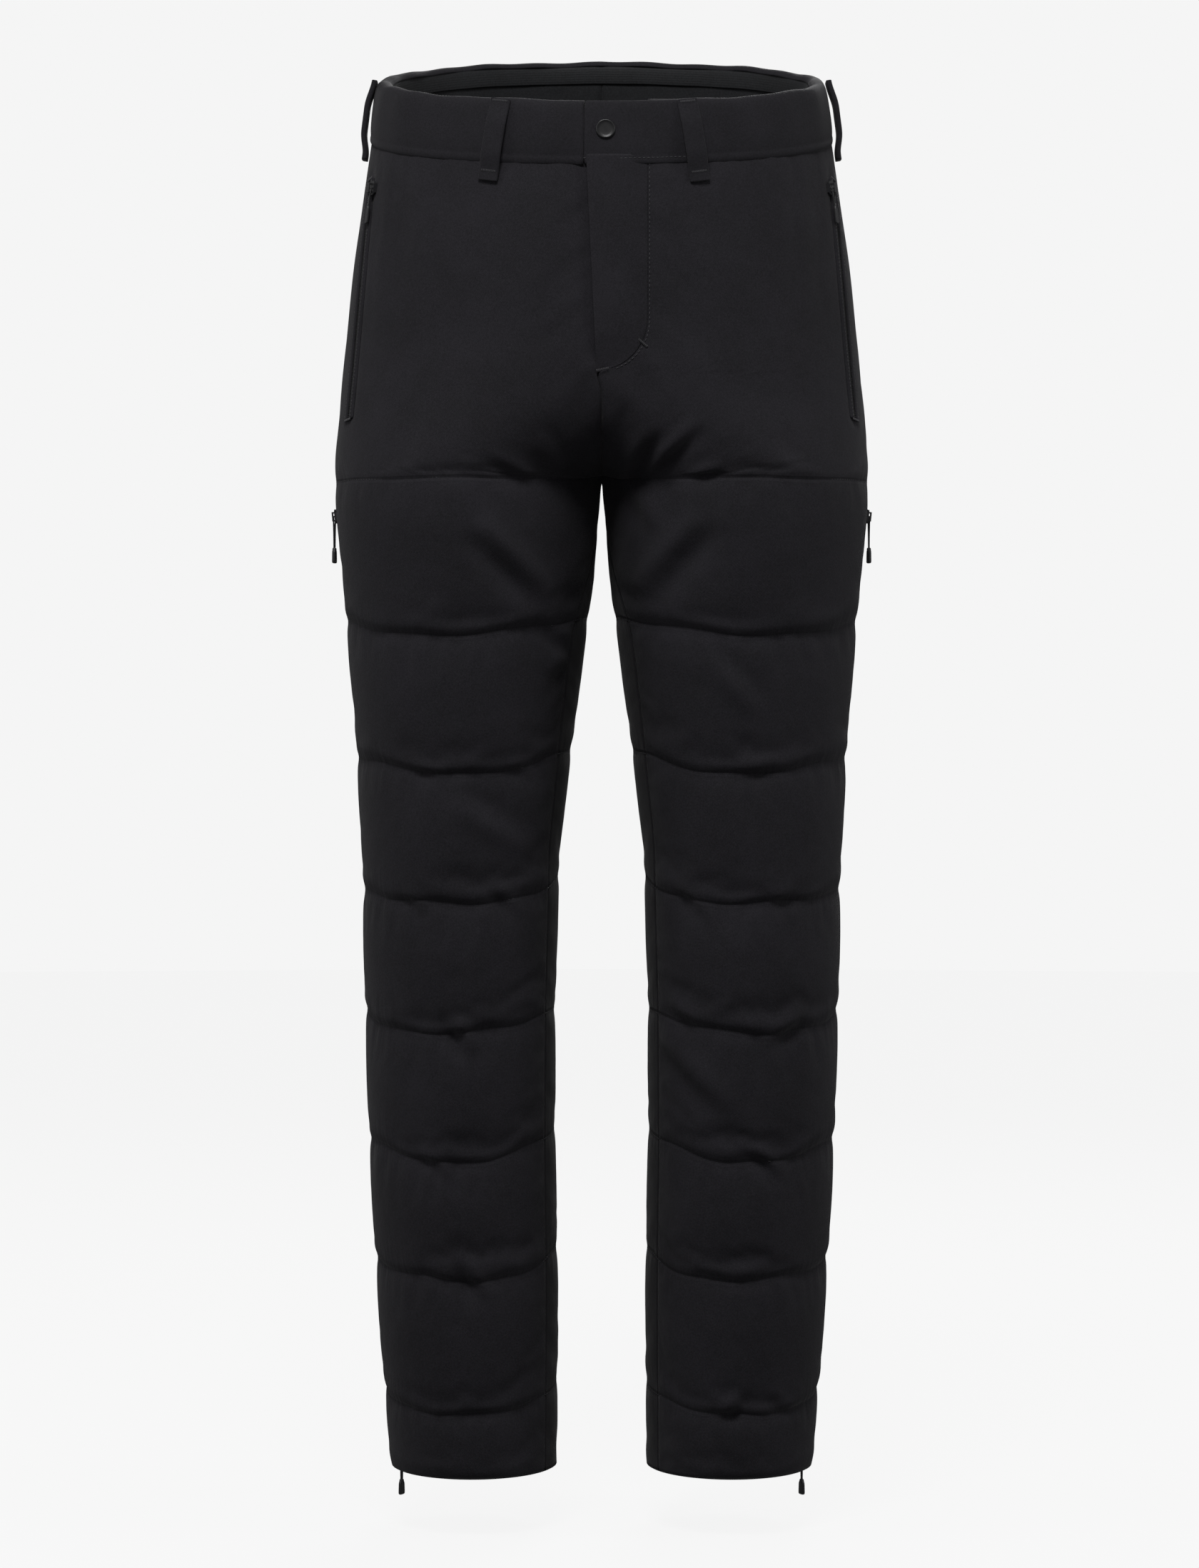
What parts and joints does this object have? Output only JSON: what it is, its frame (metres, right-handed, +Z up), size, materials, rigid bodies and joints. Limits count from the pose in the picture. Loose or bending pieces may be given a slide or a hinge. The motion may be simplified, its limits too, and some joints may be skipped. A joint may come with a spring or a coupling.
{
  "type": "ski pants",
  "caption": "Padded ski trousers held open at the waist: quilted legs, snap and zip fly, belt loops, zipped hand pockets and two-way side zips from thigh to hem.",
  "frame": {"origin": "middle of the waist opening, at the height of the top edge at the sides", "axes": "+Z up along the body, +X to the wearer's left, -Y to the front"},
  "size_m": [0.4232, 0.254, 1.1436],
  "materials": {
    "stretch_shell": "matte",
    "stretch_panel": "matte",
    "waistband_cloth": "matte",
    "down_padding": "matte",
    "lining_cloth": "matte",
    "facing_tape": "matte",
    "zip_tape": "matte",
    "zip_coil": "satin",
    "zip_metal": "satin",
    "pull_cord": "matte",
    "pull_rubber": "satin",
    "snap_black": "satin",
    "snap_steel": "satin"
  },
  "bodies": {
    "garment": {"front_panel_left": "stretch_shell", "front_panel_right": "stretch_shell", "back_panel_left": "stretch_shell", "back_panel_right": "stretch_shell", "inner_leg_panel_left": "stretch_panel", "inner_leg_panel_right": "stretch_panel", "front_padding_left": "down_padding", "front_padding_right": "down_padding", "back_padding_left": "down_padding", "back_padding_right": "down_padding", "lining_left": "lining_cloth", "lining_right": "lining_cloth", "hem_facing_left": "facing_tape", "hem_facing_right": "facing_tape", "pocket_bag_left": "lining_cloth", "pocket_bag_right": "lining_cloth", "pocket_zip_tape_left": "zip_tape", "pocket_zip_tape_right": "zip_tape", "pocket_zip_coil_left": "zip_coil", "pocket_zip_coil_right": "zip_coil", "side_zip_tape_left": "zip_tape", "side_zip_tape_right": "zip_tape", "side_zip_coil_left": "zip_coil", "side_zip_coil_right": "zip_coil", "side_zip_storm_flap_left": "stretch_panel", "side_zip_storm_flap_right": "stretch_panel", "waistband_front_left": "waistband_cloth", "waistband_front_right": "waistband_cloth", "waistband_back": "waistband_cloth", "waistband_facing": "facing_tape", "belt_loops_front": "waistband_cloth", "belt_loops_side": "waistband_cloth", "belt_loops_back": "waistband_cloth", "snap_stud": "snap_steel", "snap_post": "snap_steel", "fly_shield": "lining_cloth", "fly_zip_tape": "zip_tape", "fly_zip_coil": "zip_coil"},
    "fly_closure": {"waistband_tab": "waistband_cloth", "fly_flap": "stretch_shell", "snap_cap": "snap_black", "snap_socket": "snap_steel"},
    "fly_slider": {"fly_zip_slider": "zip_metal", "fly_zip_pull": "zip_metal"},
    "pocket_slider_left": {"pocket_zip_slider_left": "zip_metal"},
    "pocket_pull_left": {"pocket_zip_pull_left": "pull_cord"},
    "side_top_slider_left": {"side_zip_top_slider_left": "zip_metal"},
    "side_top_pull_left": {"side_zip_top_cord_left": "pull_cord", "side_zip_top_tab_left": "pull_rubber"},
    "side_bottom_slider_left": {"side_zip_bottom_slider_left": "zip_metal"},
    "side_bottom_pull_left": {"side_zip_bottom_cord_left": "pull_cord", "side_zip_bottom_tab_left": "pull_rubber"},
    "pocket_slider_right": {"pocket_zip_slider_right": "zip_metal"},
    "pocket_pull_right": {"pocket_zip_pull_right": "pull_cord"},
    "side_top_slider_right": {"side_zip_top_slider_right": "zip_metal"},
    "side_top_pull_right": {"side_zip_top_cord_right": "pull_cord", "side_zip_top_tab_right": "pull_rubber"},
    "side_bottom_slider_right": {"side_zip_bottom_slider_right": "zip_metal"},
    "side_bottom_pull_right": {"side_zip_bottom_cord_right": "pull_cord", "side_zip_bottom_tab_right": "pull_rubber"}
  },
  "joints": [
    {"name": "fly_open", "type": "hinge", "parent": "garment", "child": "fly_closure", "pos_m": [0.03415, -0.11671, -0.045], "axis": [0, 0.0381, 0.9993], "range_deg": [0, 35]},
    {"name": "fly_zip_travel", "type": "slide", "parent": "garment", "child": "fly_slider", "axis": [0, -0.0166, -0.9999], "range_m": [0, 0.115]},
    {"name": "pocket_zip_travel_left", "type": "slide", "parent": "garment", "child": "pocket_slider_left", "axis": [0.1059, -0.0319, -0.9939], "range_m": [0, 0.168]},
    {"name": "pocket_pull_swing_left", "type": "hinge", "parent": "pocket_slider_left", "child": "pocket_pull_left", "pos_m": [0.17797, -0.03829, -0.09357], "axis": [-0.5012, -0.8649, -0.0257], "range_deg": [0, 140]},
    {"name": "side_zip_top_travel_left", "type": "slide", "parent": "garment", "child": "side_top_slider_left", "axis": [-0.0874, 0.0301, -0.9957], "range_m": [0, 0.245]},
    {"name": "side_zip_top_pull_swing_left", "type": "hinge", "parent": "side_top_slider_left", "child": "side_top_pull_left", "pos_m": [0.2093, 0.01899, -0.34232], "axis": [0.1961, -0.9806, 0], "range_deg": [0, 150]},
    {"name": "side_zip_bottom_travel_left", "type": "slide", "parent": "garment", "child": "side_bottom_slider_left", "axis": [0.0801, -0.046, 0.9957], "range_m": [0, 0.228]},
    {"name": "side_zip_bottom_pull_swing_left", "type": "hinge", "parent": "side_bottom_slider_left", "child": "side_bottom_pull_left", "pos_m": [0.15823, 0.04945, -1.0712], "axis": [0.4564, -0.8898, 0], "range_deg": [0, 150]},
    {"name": "pocket_zip_travel_right", "type": "slide", "parent": "garment", "child": "pocket_slider_right", "axis": [-0.1059, -0.0319, -0.9939], "range_m": [0, 0.168]},
    {"name": "pocket_pull_swing_right", "type": "hinge", "parent": "pocket_slider_right", "child": "pocket_pull_right", "pos_m": [-0.17797, -0.03829, -0.09357], "axis": [-0.5012, 0.8649, 0.0257], "range_deg": [0, 140]},
    {"name": "side_zip_top_travel_right", "type": "slide", "parent": "garment", "child": "side_top_slider_right", "axis": [0.0874, 0.0301, -0.9957], "range_m": [0, 0.245]},
    {"name": "side_zip_top_pull_swing_right", "type": "hinge", "parent": "side_top_slider_right", "child": "side_top_pull_right", "pos_m": [-0.2093, 0.01899, -0.34232], "axis": [0.1961, 0.9806, 0], "range_deg": [0, 150]},
    {"name": "side_zip_bottom_travel_right", "type": "slide", "parent": "garment", "child": "side_bottom_slider_right", "axis": [-0.0801, -0.046, 0.9957], "range_m": [0, 0.228]},
    {"name": "side_zip_bottom_pull_swing_right", "type": "hinge", "parent": "side_bottom_slider_right", "child": "side_bottom_pull_right", "pos_m": [-0.15823, 0.04945, -1.0712], "axis": [0.4564, 0.8898, 0], "range_deg": [0, 150]}
  ]
}
